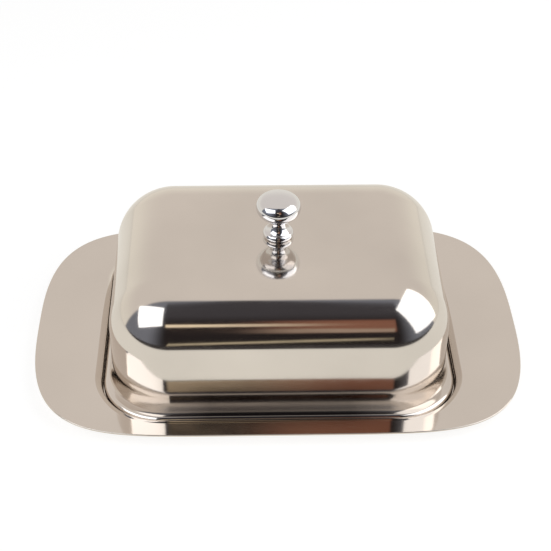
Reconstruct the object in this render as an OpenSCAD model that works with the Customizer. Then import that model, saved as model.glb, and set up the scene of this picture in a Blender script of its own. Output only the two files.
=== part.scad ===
// Butter dish: a pressed tray with a recess, and a lift-off cover with a knob.
// Millimetres. Z = 0 is the surface the tray stands on, +Z is up, +X is the long way.
// The origin is under the middle of the dish.

/* [View] */
// Which node to show

/* [Tray] */
// Overall length
tray_l = 190; // [170:1:220]
// Overall width
tray_w = 128; // [118:1:146]
// Height of the rim's top face
tray_h = 6.5; // [5:0.5:10]
// Sheet thickness of the tray
tray_t = 0.8; // [0.6:0.1:1.2]
// Bulge of the short ends, where 2 is an ellipse and larger is straighter
end_power = 2.86; // [2.2:0.02:4]
// Straightness of the long sides, where 2 is an ellipse and larger is straighter
side_power = 5.74; // [4:0.01:8]
// Radius of the shoulder from the rim into the recess
shoulder_r = 3.2; // [1.5:0.1:3.5]
// Inside radius where the recess meets its floor
recess_floor_r = 0.5; // [0.3:0.1:0.5]

/* [Cover] */
// Length over the walls
cover_l = 127.8; // [110:0.2:140]
// Width over the walls
cover_w = 98; // [88:0.2:108]
// Corner radius of the walls in plan
cover_corner_r = 23.3; // [23:0.1:30]
// Radius from the walls over onto the top
cover_top_r = 21.8; // [12:0.2:22.5]
// Height of the cover's top face above the surface the tray stands on
cover_top_z = 49.5; // [44:0.5:60]
// Sheet thickness of the cover
cover_t = 0.8; // [0.6:0.1:1.2]

/* [Cover foot] */
// Length over the foot lip
foot_l = 134.4; // [120:0.2:145]
// Width over the foot lip
foot_w = 107.6; // [98:0.2:118]
// Corner radius of the foot lip in plan
foot_corner_r = 23.6; // [23:0.2:32]
// Height of the hollow curve from the walls out onto the foot
cove_h = 6; // [3:0.1:7]
// How far the hollow curve reaches out from the walls
cove_reach = 1.3; // [1.1:0.1:1.6]
// Radius of the lip's rounded edge
lip_r = 2; // [1.2:0.1:2]
// Height of the lip's top above the tray's rim, less than 0 when it lies below
lip_top = -1.5; // [-2:0.1:2]
// Gap all round between the lip and the recess
lip_gap = 0.6; // [0.3:0.1:1.5]

/* [Knob] */
// Radius of the ball at its widest
ball_r = 8.5; // [7:0.1:11]
// Half of the ball's height
ball_half_h = 4.7; // [3.5:0.1:6]
// Radius of the ball's rounded rim
ball_rim_r = 4; // [2:0.1:4.4]
// Height of the ball's centre above the cover
ball_z = 13.2; // [11:0.1:18]
// Widest radius of the bead round the knob's foot
bead_r = 5.9; // [5:0.1:8]
// Height of the bead
bead_h = 2.8; // [1.5:0.1:4]
// Radius of the neck at its narrowest
neck_r = 3; // [2.5:0.1:4]
// Height of the neck's narrowest point above the cover
neck_z = 6.2; // [5:0.1:8]

/* [Fixing] */
// Nominal thread radius
thread_r = 1.5; // [1.5:0.5:2]
// Length of the screw under its head
screw_l = 8; // [6:1:8]
// Radius of the clearance holes
clear_r = 1.7; // [1.6:0.1:2.2]

/* [Hidden] */
$fn = 96;

// overlap that joins the touching pieces of one solid
JOIN = 0.01;
// how far a cut runs past the faces it cuts
CUT = 1;
// points round the tray's outline
OUTLINE_STEPS = 288;

// recess, measured to its upright inner face
recess_l = foot_l + 2 * lip_gap;
recess_w = foot_w + 2 * lip_gap;
recess_corner_r = foot_corner_r + lip_gap;

// heights of the foot's curves
land_z = tray_h + lip_top;
lip_z = land_z - lip_r;
cove_z = land_z + cove_h;
cove_r = (pow(cove_h, 2) + pow(cove_reach, 2)) / (2 * cove_reach);
land_lap = 0.25;

// large radius of the ball's top and bottom faces, tangent to its rim
ball_core = ball_r - ball_rim_r;
ball_rise = ball_half_h - ball_rim_r;
ball_cap_r = (pow(ball_core, 2) + pow(ball_rise, 2)) / (2 * ball_rise) + ball_rim_r;
ball_cap_z = ball_half_h - ball_cap_r;
ball_tangent_h = ball_cap_z + ball_cap_r * (0 - ball_cap_z) / (ball_cap_r - ball_rim_r);

// neck: a hollow curve up from the bead, and a smaller one out to the ball
bead_edge_r = bead_h / 2;
collar_step = 0.4;
collar_r = bead_r - bead_edge_r + collar_step;
neck_low_h = neck_z - bead_h;
neck_low_r = (pow(collar_r - neck_r, 2) + pow(neck_low_h, 2)) / (2 * (collar_r - neck_r));
neck_sink = 0.6;
neck_top_z = ball_z - ball_half_h + neck_sink;
neck_top_r = neck_top_z - neck_z;
hole_depth = 6.6;

// M3 pan-head screw and its washers
head_r = 2.8;
head_h = 2;
head_round_r = 3.4;
head_round_z = 3;
slot_w = 0.7;
slot_l = 3.2;
slot_h = 1.1;
washer_r = 3.5;
washer_t = 0.5;
spring_r = 3.05;
spring_t = 0.8;
spring_split = 0.5;
shank_clear = 0.02;
cover_under_z = cover_top_z - cover_t;
spring_z = cover_under_z - washer_t - spring_t;

STEEL = [0.78, 0.76, 0.73];
CHROME = [0.82, 0.83, 0.86];
ZINC = [0.62, 0.64, 0.66];

// rounded rectangle in plan
module plan(l, w, r) {
    union() {
        square([l - 2 * r, w], center = true);
        square([l, w - 2 * r], center = true);
        for (sx = [-1, 1], sy = [-1, 1])
            translate([sx * (l / 2 - r), sy * (w / 2 - r)])
                circle(r = r);
    }
}

// flat sheet in the shape of a rounded rectangle
module plate(l, w, r, z, t) {
    translate([0, 0, z])
        linear_extrude(height = t)
            plan(l, w, r);
}

// sweeps a profile round a rounded rectangle: x = 0 lies on the outline, +x points outwards
module sweep_round(l, w, r) {
    for (side = [0, 1])
        rotate([0, 0, side * 180]) {
            translate([l / 2, (w / 2 - r), 0])
                rotate([90, 0, 0])
                    linear_extrude(height = w - 2 * r)
                        children();
            translate([-(l / 2 - r), w / 2, 0])
                rotate([0, 0, 90])
                    rotate([90, 0, 0])
                        linear_extrude(height = l - 2 * r)
                            children();
            translate([l / 2 - r, w / 2 - r, 0])
                rotate_extrude(angle = 90)
                    translate([r, 0])
                        children();
            translate([-(l / 2 - r), w / 2 - r, 0])
                rotate([0, 0, 90])
                    rotate_extrude(angle = 90)
                        translate([r, 0])
                            children();
        }
}

// quarter of a ring: sx and sy say which quadrant of its centre it fills
module quarter_ring(r_in, r_out, sx, sy) {
    intersection() {
        difference() {
            circle(r = r_out);
            circle(r = r_in);
        }
        translate([sx > 0 ? 0 : -2 * r_out, sy > 0 ? 0 : -2 * r_out])
            square(2 * r_out);
    }
}

// outline of the tray: long sides almost straight, ends bulging, soft corners
function outline_point(a) = [
    sign(cos(a)) * tray_l / 2 * pow(abs(cos(a)), 2 / side_power),
    sign(sin(a)) * tray_w / 2 * pow(abs(sin(a)), 2 / end_power)
];

module tray_outline() {
    polygon([for (i = [0:OUTLINE_STEPS - 1]) outline_point((i + 0.5) * 360 / OUTLINE_STEPS)]);
}

// section of the tray from its floor up over the shoulder
module recess_profile() {
    translate([-recess_floor_r, tray_t + recess_floor_r])
        quarter_ring(recess_floor_r, recess_floor_r + tray_t, 1, -1);
    translate([0, tray_t + recess_floor_r])
        square([tray_t, tray_h - shoulder_r - tray_t - recess_floor_r]);
    translate([shoulder_r, tray_h - shoulder_r])
        quarter_ring(shoulder_r - tray_t, shoulder_r, -1, 1);
}

module tray() {
    floor_in = 2 * recess_floor_r;
    rim_out = 2 * shoulder_r;
    color(STEEL)
        union() {
            plate(recess_l - floor_in, recess_w - floor_in, recess_corner_r - floor_in / 2, 0, tray_t);
            sweep_round(recess_l, recess_w, recess_corner_r)
                recess_profile();
            difference() {
                translate([0, 0, tray_h - tray_t])
                    linear_extrude(height = tray_t)
                        tray_outline();
                plate(recess_l + rim_out, recess_w + rim_out, recess_corner_r + rim_out / 2, 0, 2 * tray_h);
            }
        }
}

// section of the cover's wall, from the hollow curve at its foot up onto the top
module wall_profile() {
    translate([-cover_top_r, cover_top_z - cover_top_r])
        quarter_ring(cover_top_r - cover_t, cover_top_r, 1, 1);
    translate([-cover_t, cove_z])
        square([cover_t, cover_top_z - cover_top_r - cove_z]);
    intersection() {
        translate([cove_r, cove_z])
            difference() {
                circle(r = cove_r + cover_t);
                circle(r = cove_r);
            }
        translate([-cover_t, land_z - cover_t])
            square([cove_reach + 3 * cover_t, cove_h + cover_t]);
    }
}

// section of the foot's lip, from its flat land down to the edge that stands in the recess
module lip_profile() {
    translate([-lip_r, lip_z])
        quarter_ring(lip_r - cover_t, lip_r, 1, 1);
    translate([-cover_t, tray_t])
        square([cover_t, lip_z - tray_t]);
}

module cover() {
    top_in = 2 * cover_top_r;
    cove_out = 2 * (cove_reach - land_lap);
    lip_in = 2 * lip_r;
    color(STEEL)
        difference() {
            union() {
                plate(cover_l - top_in, cover_w - top_in, cover_corner_r - top_in / 2,
                    cover_under_z, cover_t);
                sweep_round(cover_l, cover_w, cover_corner_r)
                    wall_profile();
                sweep_round(foot_l, foot_w, foot_corner_r)
                    lip_profile();
                difference() {
                    plate(foot_l - lip_in, foot_w - lip_in, foot_corner_r - lip_in / 2,
                        land_z - cover_t, cover_t);
                    plate(cover_l + cove_out, cover_w + cove_out, cover_corner_r + cove_out / 2,
                        0, cover_top_z);
                }
            }
            translate([0, 0, cover_under_z - cover_t])
                cylinder(r = clear_r, h = 3 * cover_t);
        }
}

// half section of the flattened ball about its own middle
module ball_section() {
    intersection() {
        translate([0, ball_cap_z])
            circle(r = ball_cap_r);
        translate([0, ball_tangent_h])
            square([ball_r, ball_half_h]);
    }
    translate([0, -ball_tangent_h - JOIN])
        square([ball_core, 2 * (ball_tangent_h + JOIN)]);
    intersection() {
        translate([ball_core, 0])
            circle(r = ball_rim_r);
        translate([ball_core - JOIN, -ball_tangent_h])
            square([ball_rim_r + CUT, 2 * ball_tangent_h]);
    }
    intersection() {
        translate([0, -ball_cap_z])
            circle(r = ball_cap_r);
        translate([0, -ball_tangent_h - ball_half_h])
            square([ball_r, ball_half_h]);
    }
}

// half section of the foot bead and the neck
module neck_section() {
    square([bead_r - bead_edge_r, bead_h]);
    translate([bead_r - bead_edge_r, bead_edge_r])
        circle(r = bead_edge_r);
    difference() {
        translate([0, bead_h])
            square([collar_r, neck_low_h]);
        translate([neck_r + neck_low_r, neck_z])
            circle(r = neck_low_r);
    }
    difference() {
        translate([0, neck_z])
            square([neck_r + neck_top_r, neck_top_r]);
        translate([neck_r + neck_top_r, neck_z])
            circle(r = neck_top_r);
    }
}

module knob() {
    color(CHROME)
        translate([0, 0, cover_top_z])
            difference() {
                rotate_extrude() {
                    neck_section();
                    translate([0, ball_z])
                        ball_section();
                }
                translate([0, 0, -CUT])
                    cylinder(r = thread_r, h = hole_depth + CUT);
            }
}

// pan-head screw pushed up from inside the cover
module screw() {
    color(ZINC)
        translate([0, 0, spring_z])
            difference() {
                union() {
                    cylinder(r = thread_r - shank_clear, h = screw_l);
                    translate([0, 0, -head_h])
                        intersection() {
                            cylinder(r = head_r, h = head_h);
                            translate([0, 0, head_round_z])
                                sphere(r = head_round_r);
                        }
                }
                for (a = [0, 90])
                    rotate([0, 0, a])
                        translate([-slot_l / 2, -slot_w / 2, -head_h - CUT])
                            cube([slot_l, slot_w, slot_h + CUT]);
            }
}

module flat_washer() {
    color(ZINC)
        translate([0, 0, cover_under_z - washer_t])
            difference() {
                cylinder(r = washer_r, h = washer_t);
                translate([0, 0, -CUT])
                    cylinder(r = clear_r, h = washer_t + 2 * CUT);
            }
}

module spring_washer() {
    color(ZINC)
        translate([0, 0, spring_z])
            difference() {
                cylinder(r = spring_r, h = spring_t);
                translate([0, 0, -CUT])
                    cylinder(r = clear_r, h = spring_t + 2 * CUT);
                translate([0, -spring_split / 2, -CUT])
                    cube([spring_r + CUT, spring_split, spring_t + 2 * CUT]);
            }
}

tray();
cover();
knob();
screw();
flat_washer();
spring_washer();
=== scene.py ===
"""Looks of the butter dish: polished steel tray and cover, chrome knob, on a pale table in a studio."""

import math

import bpy
import numpy as np
from mathutils import Matrix, Vector


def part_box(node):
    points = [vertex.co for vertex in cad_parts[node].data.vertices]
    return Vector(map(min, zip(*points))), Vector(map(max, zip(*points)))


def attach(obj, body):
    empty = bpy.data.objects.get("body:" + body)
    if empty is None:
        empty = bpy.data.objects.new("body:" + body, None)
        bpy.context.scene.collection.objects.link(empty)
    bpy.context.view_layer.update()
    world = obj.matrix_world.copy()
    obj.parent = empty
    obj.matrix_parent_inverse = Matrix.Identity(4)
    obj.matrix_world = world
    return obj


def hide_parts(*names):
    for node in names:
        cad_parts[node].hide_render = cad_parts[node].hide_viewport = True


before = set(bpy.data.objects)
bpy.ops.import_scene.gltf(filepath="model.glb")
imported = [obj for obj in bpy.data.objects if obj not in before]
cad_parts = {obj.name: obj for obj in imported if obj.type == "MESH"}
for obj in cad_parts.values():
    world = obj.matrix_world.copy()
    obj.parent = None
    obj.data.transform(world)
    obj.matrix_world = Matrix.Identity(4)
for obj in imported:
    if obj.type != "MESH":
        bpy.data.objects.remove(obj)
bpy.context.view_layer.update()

MM = 0.001

# sizes of the pressed sheets, from the CAD frame where it holds them
tray_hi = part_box("tray")[1]
cover_lo, cover_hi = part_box("cover")
knob_lo, knob_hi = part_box("knob")
SHEET, EDGE_R = 0.8 * MM, 0.25 * MM
TRAY_L, TRAY_W, TRAY_H = 190 * MM, 128 * MM, tray_hi.z
END_POWER, SIDE_POWER = 2.86, 5.74
SHOULDER_R, FLOOR_R, LIP_GAP = 3.2 * MM, 0.5 * MM, 0.6 * MM
WALL_L, WALL_W, WALL_R, TOP_R = 127.8 * MM, 98 * MM, 23.3 * MM, 21.8 * MM
FOOT_L, FOOT_W, FOOT_R = cover_hi.x - cover_lo.x, cover_hi.y - cover_lo.y, 23.6 * MM
COVE_H, COVE_REACH, LIP_R, LIP_TOP = 6 * MM, 1.3 * MM, 2 * MM, -1.5 * MM
COVER_TOP = cover_hi.z
HOLE_R, HOLE_BEVEL = 1.7 * MM, 0.1 * MM

# directions of a surface, in degrees up from level
UP, OUT, IN, DOWN = 90, 0, 180, -90

# how finely the outlines, arcs and flats are cut
CORNER_STEPS, LONG_STEPS, SHORT_STEPS = 44, 30, 20
BEND_STEPS, COVE_STEPS, SHOULDER_STEPS, PRESS_STEPS = 48, 18, 16, 12
INNER_LIP_STEPS, EDGE_STEPS, HEM_STEPS, BEVEL_STEPS = 8, 6, 5, 4
TOP_STEPS, RIM_STEPS, WALL_STEPS, LAND_STEPS = 8, 6, 6, 4
FLOOR_SHARES = (0.08, 0.3, 0.55, 0.8, 0.95)
KNOB_SIDES = 144
HALVINGS = 50


# ---------------------------------------------------------------- outlines and surfaces


class Outline:
    """A rounded rectangle in plan, as points with outward normals, that can be offset."""

    def __init__(self, length, width, radius):
        cx, cy = length / 2 - radius, width / 2 - radius
        centres, normals = [], []
        for quarter in range(4):
            sx, sy = ((1, 1), (-1, 1), (-1, -1), (1, -1))[quarter]
            for k in range(CORNER_STEPS + 1):
                a = math.radians(90 * (quarter + k / CORNER_STEPS))
                centres.append((sx * cx, sy * cy))
                normals.append((math.cos(a), math.sin(a)))
            nx, ny = ((-1, 1), (-1, -1), (1, -1), (1, 1))[quarter]
            steps = LONG_STEPS if quarter % 2 == 0 else SHORT_STEPS
            for k in range(1, steps):
                t = k / steps
                centres.append((cx * (sx + (nx - sx) * t), cy * (sy + (ny - sy) * t)))
                normals.append(normals[-1])
        self.centres, self.normals = np.array(centres), np.array(normals)
        self.radius = radius

    def at(self, offset):
        return self.centres + self.normals * (self.radius + offset)


def superellipse(points, inset):
    """The tray's outline in the direction of each of the points, moved in by inset, with its normals."""
    a, b = TRAY_L / 2, TRAY_W / 2
    d = points / np.linalg.norm(points, axis=1)[:, None]
    low, high = np.zeros(len(d)), np.full(len(d), 2 * a)
    for _ in range(HALVINGS):
        mid = (low + high) / 2
        inside = abs(mid * d[:, 0] / a) ** SIDE_POWER + abs(mid * d[:, 1] / b) ** END_POWER < 1
        low, high = np.where(inside, mid, low), np.where(inside, high, mid)
    p = d * low[:, None]
    g = np.stack(
        [
            np.sign(p[:, 0]) * SIDE_POWER / a * abs(p[:, 0] / a) ** (SIDE_POWER - 1),
            np.sign(p[:, 1]) * END_POWER / b * abs(p[:, 1] / b) ** (END_POWER - 1),
        ],
        axis=1,
    )
    g /= np.linalg.norm(g, axis=1)[:, None]
    return p - g * inset, g


def arc(out, up, radius, first, last, steps, hollow=False):
    """Points of a section's arc as (outward, up, direction of the surface in degrees)."""
    turn = 180 if hollow else 0
    angles = [first + (last - first) * k / steps for k in range(steps + 1)]
    return [
        (
            out + radius * math.cos(math.radians(a)),
            up + radius * math.sin(math.radians(a)),
            a + turn,
        )
        for a in angles
    ]


class Surface:
    """A closed skin made of rings of equal length, with exact normals."""

    def __init__(self):
        self.rings = []

    def ring(self, plan, z, plan_normals, face):
        n = len(plan)
        a = np.radians(np.full(n, face) if np.isscalar(face) else face)[:, None]
        points = np.column_stack([plan, np.full(n, z)])
        normals = np.column_stack([plan_normals * np.cos(a), np.sin(a)])
        self.rings.append((points, normals))

    def section(self, outline, stations):
        for out, z, face in stations:
            self.ring(outline.at(out), z, outline.normals, face)

    def flat(self, first, last, steps, z, face, plan_normals):
        """Rings across a flat between two plans, without the plans themselves."""
        for k in range(1, steps):
            t = k / steps
            self.ring(first + (last - first) * t, z, plan_normals, face)

    def build(self, name, closed):
        n = len(self.rings[0][0])
        co = np.concatenate([p for p, _ in self.rings])
        no = np.concatenate([v for _, v in self.rings])
        faces = []
        count = len(self.rings)
        for r in range(count if closed else count - 1):
            r2 = (r + 1) % count
            for i in range(n):
                j = (i + 1) % n
                faces.append((r * n + i, r * n + j, r2 * n + j, r2 * n + i))
        if not closed:
            for r, face_up in ((0, 1), (count - 1, -1)):
                centre = len(co)
                middle = co[r * n : r * n + n].mean(0)
                co = np.vstack([co, middle])
                no = np.vstack([no, self.rings[r][1][0]])
                for i in range(n):
                    j = (i + 1) % n
                    fan = (r * n + i, r * n + j, centre)
                    faces.append(fan if face_up < 0 else fan[::-1])
        return make_mesh(name, co, faces, no)


def make_mesh(name, co, faces, normals):
    volume = 0.0
    for f in faces:
        for k in range(1, len(f) - 1):
            volume += np.dot(co[f[0]], np.cross(co[f[k]], co[f[k + 1]]))
    if volume < 0:
        faces = [f[::-1] for f in faces]
    mesh = bpy.data.meshes.new(name)
    mesh.from_pydata([tuple(p) for p in co], [], [tuple(f) for f in faces])
    mesh.update()
    mesh.polygons.foreach_set("use_smooth", [True] * len(mesh.polygons))
    mesh.normals_split_custom_set_from_vertices([tuple(v) for v in normals])
    obj = bpy.data.objects.new(name, mesh)
    bpy.context.scene.collection.objects.link(obj)
    return obj


# ---------------------------------------------------------------- tray


def build_tray():
    """The tray: a flat superelliptic rim, a rounded shoulder and a sunk floor, of one sheet."""
    recess = Outline(FOOT_L + 2 * LIP_GAP, FOOT_W + 2 * LIP_GAP, FOOT_R + LIP_GAP)
    floor_in = recess.at(-FLOOR_R)
    floor_z = SHEET + FLOOR_R
    shoulder_z = TRAY_H - SHOULDER_R
    skin = Surface()

    for share in FLOOR_SHARES:
        skin.ring(floor_in * share, SHEET, recess.normals, UP)
    skin.section(recess, arc(-FLOOR_R, floor_z, FLOOR_R, 270, 360, PRESS_STEPS, hollow=True))
    skin.section(recess, arc(SHOULDER_R, shoulder_z, SHOULDER_R, 180, 90, SHOULDER_STEPS))

    rim = recess.at(SHOULDER_R)
    edge, edge_normals = superellipse(rim, EDGE_R)
    skin.flat(rim, edge, RIM_STEPS, TRAY_H, UP, recess.normals)
    upper = arc(0, TRAY_H - EDGE_R, EDGE_R, 90, 0, EDGE_STEPS)
    lower = arc(0, TRAY_H - SHEET + EDGE_R, EDGE_R, 0, -90, EDGE_STEPS)
    for out, z, face in upper + lower:
        skin.ring(edge + edge_normals * out, z, edge_normals, face)
    skin.flat(edge, rim, RIM_STEPS, TRAY_H - SHEET, DOWN, recess.normals)

    under_r = SHOULDER_R - SHEET
    skin.section(recess, arc(SHOULDER_R, shoulder_z, under_r, 90, 180, PRESS_STEPS, hollow=True))
    skin.section(recess, arc(-FLOOR_R, floor_z, FLOOR_R + SHEET, 0, -90, PRESS_STEPS))
    for share in reversed(FLOOR_SHARES):
        skin.ring(floor_in * share, 0, recess.normals, DOWN)
    return skin.build("tray_skin", closed=False)


# ---------------------------------------------------------------- cover


def build_cover():
    """The cover: a deep rounded box with a flared foot and a lip, of one sheet, with a screw hole."""
    wall = Outline(WALL_L, WALL_W, WALL_R)
    foot = Outline(FOOT_L, FOOT_W, FOOT_R)
    land_z = TRAY_H + LIP_TOP
    lip_z = land_z - LIP_R
    hem_z = SHEET + (lip_z - SHEET) / 2
    cove_z = land_z + COVE_H
    cove_r = (COVE_H**2 + COVE_REACH**2) / (2 * COVE_REACH)
    flare = 180 + math.degrees(math.asin(COVE_H / cove_r))
    bend_z = COVER_TOP - TOP_R
    wall_zs = [cove_z + (bend_z - cove_z) * k / WALL_STEPS for k in range(1, WALL_STEPS)]
    top_in = wall.at(-TOP_R)
    land_in, land_out = wall.at(COVE_REACH), foot.at(-LIP_R)
    hole_normals = top_in / np.linalg.norm(top_in, axis=1)[:, None]
    hole_rim = hole_normals * (HOLE_R + HOLE_BEVEL)
    skin = Surface()

    bevel_out, bevel_in = COVER_TOP - HOLE_BEVEL, COVER_TOP - SHEET + HOLE_BEVEL
    lower = arc(HOLE_BEVEL, bevel_in, HOLE_BEVEL, 270, 180, BEVEL_STEPS)
    upper = arc(HOLE_BEVEL, bevel_out, HOLE_BEVEL, 180, 90, BEVEL_STEPS)
    for out, z, face in lower + upper:
        skin.ring(hole_normals * (HOLE_R + out), z, hole_normals, face)

    skin.flat(hole_rim, top_in, TOP_STEPS, COVER_TOP, UP, hole_normals)
    skin.section(wall, arc(-TOP_R, bend_z, TOP_R, 90, 0, BEND_STEPS))
    skin.section(wall, [(0, z, OUT) for z in reversed(wall_zs)])
    skin.section(wall, arc(cove_r, cove_z, cove_r, 180, flare, COVE_STEPS, hollow=True))
    skin.section(wall, [(COVE_REACH, land_z, UP)])
    skin.flat(land_in, land_out, LAND_STEPS, land_z, UP, wall.normals)
    skin.section(foot, arc(-LIP_R, lip_z, LIP_R, 90, 0, PRESS_STEPS))
    skin.section(foot, [(0, hem_z, OUT)])
    skin.section(foot, arc(-EDGE_R, SHEET + EDGE_R, EDGE_R, 0, -90, HEM_STEPS))
    skin.section(foot, arc(-SHEET + EDGE_R, SHEET + EDGE_R, EDGE_R, 270, 180, HEM_STEPS))
    skin.section(foot, [(-SHEET, hem_z, IN)])
    skin.section(foot, arc(-LIP_R, lip_z, LIP_R - SHEET, 0, 90, INNER_LIP_STEPS, hollow=True))
    skin.flat(land_out, land_in, LAND_STEPS, land_z - SHEET, DOWN, wall.normals)
    skin.section(wall, arc(cove_r, cove_z, cove_r + SHEET, flare, 180, COVE_STEPS))
    skin.section(wall, [(-SHEET, z, IN) for z in wall_zs])
    skin.section(wall, arc(-TOP_R, bend_z, TOP_R - SHEET, 0, 90, BEND_STEPS, hollow=True))
    skin.flat(top_in, hole_rim, TOP_STEPS, COVER_TOP - SHEET, DOWN, hole_normals)
    return skin.build("cover_skin", closed=True)


# ---------------------------------------------------------------- knob


def build_knob():
    """The knob, turned in one piece: a bead, a hollow neck and a flattened ball, bored from below."""
    base, ball_r = knob_lo.z, (knob_hi.x - knob_lo.x) / 2
    half_h, rim_r = 4.7 * MM, 4 * MM
    ball_z = knob_hi.z - half_h
    bead_r, bead_h = 5.9 * MM, 2.8 * MM
    neck_r, neck_z = 3 * MM, base + 6.2 * MM
    bore_r, bore_h, bore_bevel = 1.5 * MM, 6.6 * MM, 0.1 * MM
    swell, overlap = 0.4 * MM, 0.6 * MM

    # the ball's flat caps meet its rim in a smooth line
    core, rise = ball_r - rim_r, half_h - rim_r
    cap_r = (core**2 + rise**2) / (2 * rise) + rim_r
    cap_z = half_h - cap_r
    tangent = math.degrees(math.atan2(-cap_z, core))

    # the neck's lower curve starts on the bead, and its upper one runs up to the ball
    edge = bead_h / 2
    collar_r = bead_r - edge + swell
    low_h = neck_z - base - bead_h
    low_r = ((collar_r - neck_r) ** 2 + low_h**2) / (2 * (collar_r - neck_r))
    low_start = 180 + math.degrees(math.asin(low_h / low_r))
    bead_end = math.degrees(math.acos(swell / edge))
    high_r = ball_z - half_h + overlap - neck_z

    # where the neck's upper curve meets the underside of the ball
    meet, meet_last, meet_step = 180.0, 95, 0.25
    while meet > meet_last:
        r = neck_r + high_r + high_r * math.cos(math.radians(meet))
        z = neck_z + high_r * math.sin(math.radians(meet))
        if z >= ball_z - cap_z - math.sqrt(cap_r**2 - r**2):
            break
        meet -= meet_step
    meet_a = math.degrees(math.asin(r / cap_r))

    under_first, under_last = 270 + meet_a + 0.4, 360 - tangent
    stations = [(bore_r, base + bore_h, IN), (bore_r, base + bore_bevel, IN)]
    stations += [(bore_r + bore_bevel, base, 270)]
    stations += arc(bead_r - edge, base + edge, edge, -90, bead_end, 22)
    stations += arc(neck_r + low_r, neck_z, low_r, low_start, 181, 20, hollow=True)
    stations += arc(neck_r + high_r, neck_z, high_r, 180, meet, 20, hollow=True)
    stations += arc(0, ball_z - cap_z, cap_r, under_first, under_last, 16)
    stations += arc(core, ball_z, rim_r, -tangent, tangent, 40)
    stations += arc(0, ball_z + cap_z, cap_r, tangent + 0.8, 89.6, 24)

    around = np.arange(KNOB_SIDES) * 2 * math.pi / KNOB_SIDES
    turn = np.column_stack([np.cos(around), np.sin(around)])
    skin = Surface()
    for r, z, face in stations:
        skin.ring(turn * r, z, turn, face)
    return skin.build("knob_turned", closed=False)


# ---------------------------------------------------------------- materials


class Nodes:
    """Short ways to add nodes to a tree."""

    def __init__(self, tree):
        self.tree = tree
        tree.nodes.clear()

    def add(self, kind):
        return self.tree.nodes.new(kind)

    def put(self, value, socket):
        if isinstance(value, bpy.types.NodeSocket):
            self.tree.links.new(value, socket)
        elif isinstance(value, tuple):
            socket.default_value = (*value, 1)
        else:
            socket.default_value = value

    def math(self, operation, *values):
        node = self.add("ShaderNodeMath")
        node.operation = operation
        for socket, value in zip(node.inputs, values):
            self.put(value, socket)
        return node.outputs[0]

    def ramp(self, value, low, high, first=0.0, last=1.0, smooth=False):
        node = self.add("ShaderNodeMapRange")
        if smooth:
            node.interpolation_type = "SMOOTHSTEP"
        self.put(low, node.inputs["From Min"])
        self.put(high, node.inputs["From Max"])
        self.put(first, node.inputs["To Min"])
        self.put(last, node.inputs["To Max"])
        self.put(value, node.inputs["Value"])
        return node.outputs["Result"]

    def step(self, value, low, high):
        return self.ramp(value, low, high, smooth=True)

    def band(self, value, middle, half, soft):
        away = self.math("ABSOLUTE", self.math("SUBTRACT", value, middle))
        return self.math("SUBTRACT", 1.0, self.step(away, half, half + soft))

    def patch(self, up, up_band, side, side_band):
        return self.math("MULTIPLY", self.band(up, *up_band), self.band(side, *side_band))

    def mix(self, factor, a, b):
        node = self.add("ShaderNodeMix")
        node.data_type = "RGBA"
        self.put(factor, node.inputs["Factor"])
        self.put(a, node.inputs["A"])
        self.put(b, node.inputs["B"])
        return node.outputs["Result"]

    def place(self):
        return self.add("ShaderNodeTexCoord").outputs["Object"]

    def split(self, vector):
        node = self.add("ShaderNodeSeparateXYZ")
        self.put(vector, node.inputs[0])
        return node.outputs

    def stretch(self, vector, scale):
        node = self.add("ShaderNodeMapping")
        node.inputs["Scale"].default_value = scale
        self.put(vector, node.inputs[0])
        return node.outputs[0]

    def noise(self, vector, size, detail):
        node = self.add("ShaderNodeTexNoise")
        node.inputs["Scale"].default_value = size
        node.inputs["Detail"].default_value = detail
        self.put(vector, node.inputs["Vector"])
        return node.outputs["Fac"]

    def shader(self, kind, colour):
        node = self.add(kind)
        self.put(colour, node.inputs["Color"])
        return node.outputs[0]

    def both(self, first, second):
        node = self.add("ShaderNodeAddShader")
        self.put(first, node.inputs[0])
        self.put(second, node.inputs[1])
        return node.outputs[0]

    def choose(self, factor, no, yes):
        node = self.add("ShaderNodeMixShader")
        self.put(factor, node.inputs[0])
        self.put(no, node.inputs[1])
        self.put(yes, node.inputs[2])
        return node.outputs[0]


STEEL = (0.77, 0.72, 0.67)
BRUSH_STRETCH, BRUSH_SCALE, BRUSH_HEIGHT = (1, 14, 1), 9, 0.02
WAVE_SCALE = 0.6


def new_material(name):
    mat = bpy.data.materials.new(name)
    mat.use_nodes = True
    return mat, Nodes(mat.node_tree)


def dimmed(colour, share):
    return tuple(c * share for c in colour)


def metal(name, colour, smear, roughness, bump, scale, painted_shade=None):
    """Polished metal: colour and roughness drift a little, with wipe marks and fine scratches."""
    mat, make = new_material(name)
    place = make.place()
    cloud = make.noise(place, scale, 3)
    hair = make.noise(make.stretch(place, BRUSH_STRETCH), scale * BRUSH_SCALE, 4)
    wave = make.noise(place, scale * WAVE_SCALE, 1)

    tone = make.mix(make.ramp(cloud, 0.35, 0.7), colour, dimmed(colour, smear))
    # painted shade: the base colour is darkened low on the foot's long sides, where the hollow is in
    # shade
    if painted_shade:
        tone = make.mix(foot_shade_mask(make, place), tone, dimmed(colour, painted_shade))
    low, high = roughness
    drift = make.ramp(cloud, 0.3, 0.7, low, (low + high) / 2)
    gloss = make.math("MULTIPLY_ADD", make.ramp(hair, 0.3, 0.75), (high - low) / 2, drift)
    relief = make.add("ShaderNodeBump")
    relief.inputs["Strength"].default_value = 1
    relief.inputs["Distance"].default_value = bump
    make.put(make.math("MULTIPLY_ADD", hair, BRUSH_HEIGHT, wave), relief.inputs["Height"])

    bsdf = make.add("ShaderNodeBsdfPrincipled")
    bsdf.inputs["Metallic"].default_value = 1
    make.put(tone, bsdf.inputs["Base Color"])
    make.put(gloss, bsdf.inputs["Roughness"])
    make.put(relief.outputs[0], bsdf.inputs["Normal"])
    make.put(bsdf.outputs[0], make.add("ShaderNodeOutputMaterial").inputs[0])
    return mat


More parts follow.
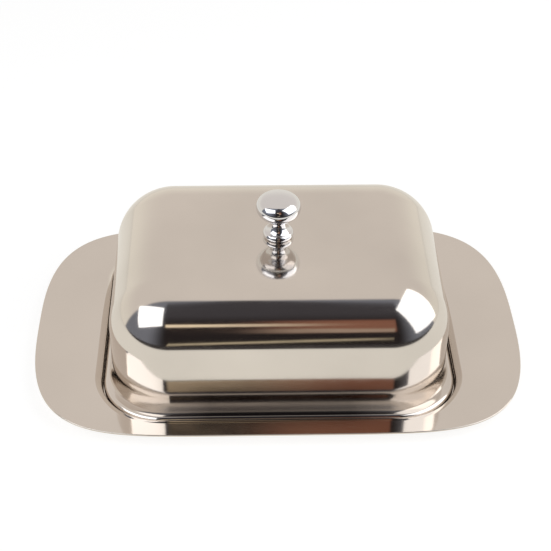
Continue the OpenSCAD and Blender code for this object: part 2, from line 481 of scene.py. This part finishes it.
def foot_shade_mask(make, place):
    """Painted shade on the foot: the steel is darkened low on the long sides, fading up and to the
    corners.
    """
    x, _, z = make.split(place)
    low = make.ramp(z, 11 * MM, 19 * MM, 1, 0)
    inner = make.ramp(make.math("ABSOLUTE", x), 26 * MM, 47 * MM, 1, 0)
    return make.math("MULTIPLY", low, inner)


def paint(obj, mat):
    obj.data.materials.clear()
    obj.data.materials.append(mat)


tray_steel = metal("tray_steel", STEEL, 0.95, (0.06, 0.11), 0.03 * MM, 22)
# the cover's foot gets painted shade, its colour darkened to 0.40 low on the long sides
cover_steel = metal("cover_steel", STEEL, 0.90, (0.07, 0.13), 0.06 * MM, 18, painted_shade=0.40)
chrome = metal("knob_chrome", (0.80, 0.80, 0.82), 0.96, (0.02, 0.07), 0.004 * MM, 90)
zinc = metal("screw_zinc", (0.60, 0.61, 0.62), 0.85, (0.22, 0.40), 0.01 * MM, 300)
dull_zinc = metal("washer_zinc", (0.54, 0.55, 0.56), 0.82, (0.28, 0.45), 0.01 * MM, 260)

tray = build_tray()
paint(tray, tray_steel)
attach(tray, "tray")
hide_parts("tray")

cover = build_cover()
paint(cover, cover_steel)
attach(cover, "cover")
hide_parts("cover")

knob = build_knob()
paint(knob, chrome)
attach(knob, "cover")
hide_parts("knob")

paint(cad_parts["screw"], zinc)
paint(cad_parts["flat_washer"], dull_zinc)
paint(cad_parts["spring_washer"], dull_zinc)


# ---------------------------------------------------------------- studio

# the table is pale near the dish, and the room's dark floor begins in front of it
TABLE_HALF = 6.0
TABLE_EDGE = (-0.32, -0.24)
TABLE_TINTS = (0.69, 0.665, 0.605), (0.65, 0.625, 0.57)
TABLE_SOFT = (0.30, 0.30, 0.29)
TABLE_SEEN_SOFT, TABLE_SEEN_BRIGHT = (0.34, 0.34, 0.34), (0.80, 0.80, 0.80)
ROOM_FLOOR = (0.030, 0.027, 0.027)

# the room before the dish: its walls and its warm lights
ROOM_LOW, ROOM_HIGH, ROOM_SIDES = (0.022, 0.018, 0.018), (0.056, 0.052, 0.058), (0.20, 0.21, 0.245)
CREAM_LEFT, CREAM_RIGHT = (1.10, 0.92, 0.66), (0.66, 0.53, 0.39)
LOW_LIGHT, BROWN, GLINT = (0.55, 0.47, 0.33), (0.26, 0.115, 0.075), (0.42, 0.31, 0.235)

# the pale screen behind and overhead
SCREEN_LOW, SCREEN_HIGH = (0.86, 0.82, 0.74), (0.745, 0.69, 0.64)
EVEN_LIGHT, WHITE = (0.25, 0.245, 0.24), (1.0, 1.0, 1.0)

LAMP_AWAY, LAMP_AIM = 0.95, 0.03
LAMP_COLOUR = (0.97, 0.985, 1.0)


def build_floor():
    """A white table top; the room's dark floor begins a little way in front of the dish."""
    s = TABLE_HALF
    mesh = bpy.data.meshes.new("table")
    mesh.from_pydata([(-s, -s, 0), (s, -s, 0), (s, s, 0), (-s, s, 0)], [], [(0, 1, 2, 3)])
    obj = bpy.data.objects.new("table", mesh)
    bpy.context.scene.collection.objects.link(obj)

    mat, make = new_material("table_white")
    place = make.place()
    near = make.step(make.split(place)["Y"], *TABLE_EDGE)
    grain = make.mix(make.noise(place, 3, 2), *TABLE_TINTS)
    mirrored = make.both(
        make.shader("ShaderNodeBsdfDiffuse", make.mix(near, ROOM_FLOOR, TABLE_SOFT)),
        make.shader("ShaderNodeEmission", make.mix(near, ROOM_FLOOR, grain)),
    )
    seen = make.both(
        make.shader("ShaderNodeBsdfDiffuse", TABLE_SEEN_SOFT),
        make.shader("ShaderNodeEmission", TABLE_SEEN_BRIGHT),
    )
    straight = make.add("ShaderNodeLightPath").outputs["Is Camera Ray"]
    out = make.add("ShaderNodeOutputMaterial")
    make.put(make.choose(straight, mirrored, seen), out.inputs[0])
    paint(obj, mat)


def build_world():
    """A dark room before the dish, with a few warm lights, and a pale screen behind and overhead."""
    world = bpy.data.worlds.new("studio")
    bpy.context.scene.world = world
    world.use_nodes = True
    make = Nodes(world.node_tree)

    coords = make.add("ShaderNodeTexCoord").outputs["Generated"]
    x, y, z = make.split(coords)
    degrees = 180 / math.pi
    height = make.math("MULTIPLY", make.math("ARCSINE", z), degrees)
    ahead = make.math("MULTIPLY", y, -1.0)
    side = make.math("MULTIPLY", make.math("ARCTAN2", x, ahead), degrees)
    waver = make.math("SUBTRACT", make.noise(coords, 9, 2), 0.5)

    # heights and sides in degrees; a band is its middle, half width and soft edge
    off_middle = make.math("ABSOLUTE", make.math("ADD", side, -4.0))
    front = make.mix(make.step(height, 42, 62), ROOM_LOW, ROOM_HIGH)
    front = make.mix(make.step(off_middle, 11, 50), front, ROOM_SIDES)
    brown = make.patch(height, (36, 9, 5), side, (7.5, 4, 3.5))
    front = make.mix(brown, front, BROWN)
    ragged = make.math("ADD", height, make.math("MULTIPLY", waver, 5.0))
    glint = make.patch(ragged, (27.5, 2, 3.5), side, (5.5, 2.5, 3))
    front = make.mix(glint, front, GLINT)
    wavy = make.math("ADD", height, waver)
    streak = make.patch(wavy, (39.6, 1.6, 2.0), side, (-3.4, 4.6, 4.5))
    front = make.mix(streak, front, make.mix(make.step(side, -4, 1.5), CREAM_LEFT, CREAM_RIGHT))
    leaning = make.math("ADD", height, make.math("MULTIPLY", side, -0.9))
    low_light = make.patch(leaning, (5.5, 0.8, 2.2), side, (0, 5, 2.5))
    front = make.mix(low_light, front, LOW_LIGHT)

    screen = make.mix(make.step(z, 0.05, 0.6), SCREEN_LOW, SCREEN_HIGH)
    mirrored = make.shader("ShaderNodeBackground", make.mix(make.step(y, -0.05, 0.03), front, screen))
    even = make.shader("ShaderNodeBackground", EVEN_LIGHT)
    plain = make.shader("ShaderNodeBackground", WHITE)
    path = make.add("ShaderNodeLightPath").outputs
    light = make.choose(path["Is Diffuse Ray"], mirrored, even)
    out = make.add("ShaderNodeOutputWorld")
    make.put(make.choose(path["Is Camera Ray"], light, plain), out.inputs[0])


def softbox(name, side, height, roll, size, radiance):
    """A rectangular lamp aimed at the dish, at so many degrees to the side, up and rolled."""
    a, e = math.radians(side), math.radians(height)
    direction = Vector((math.sin(a) * math.cos(e), -math.cos(a) * math.cos(e), math.sin(e)))
    light = bpy.data.lights.new(name, "AREA")
    light.shape = "RECTANGLE"
    light.size, light.size_y = size
    light.energy = radiance * math.pi * size[0] * size[1]
    light.color = LAMP_COLOUR
    obj = bpy.data.objects.new(name, light)
    bpy.context.scene.collection.objects.link(obj)
    turned = direction.to_track_quat("Z", "Y").to_matrix().to_4x4()
    obj.matrix_world = (
        Matrix.Translation(direction * LAMP_AWAY + Vector((0, 0, LAMP_AIM)))
        @ turned
        @ Matrix.Rotation(math.radians(roll), 4, "Z")
    )


def turned_about_third(angle):
    c, s = math.cos(angle), math.sin(angle)
    return np.array([[c, -s, 0], [s, c, 0], [0, 0, 1]])


def build_camera():
    """A camera looking down at the front long side, with the dish a little below its middle."""
    pitch, turn, roll = math.radians(38), math.radians(1.78), math.radians(0.57)
    side, drop, distance = 0.68 * MM, 18.5 * MM, 551.5 * MM
    look = np.array(
        [
            [1, 0, 0],
            [0, -math.sin(pitch), -math.cos(pitch)],
            [0, math.cos(pitch), -math.sin(pitch)],
        ]
    )
    right, down, ahead = turned_about_third(roll) @ look @ turned_about_third(turn)
    place = -(right * side + down * drop + ahead * distance) + np.array([0, 0, TRAY_H])
    data = bpy.data.cameras.new("camera")
    data.sensor_width = 36
    data.lens = 89.93
    data.clip_start, data.clip_end = 0.01, 50
    cam = bpy.data.objects.new("camera", data)
    bpy.context.scene.collection.objects.link(cam)
    matrix = np.identity(4)
    matrix[:3, :] = np.column_stack([right, -down, -ahead, place])
    cam.matrix_world = Matrix(matrix.tolist())
    bpy.context.scene.camera = cam


build_floor()
build_world()
softbox("lamp_left", -55, 44, 37, (0.78, 0.62), 1.75)
softbox("lamp_right", 77, 38, -8, (1.00, 1.15), 1.45)
build_camera()
bpy.context.scene.view_settings.view_transform = "Standard"
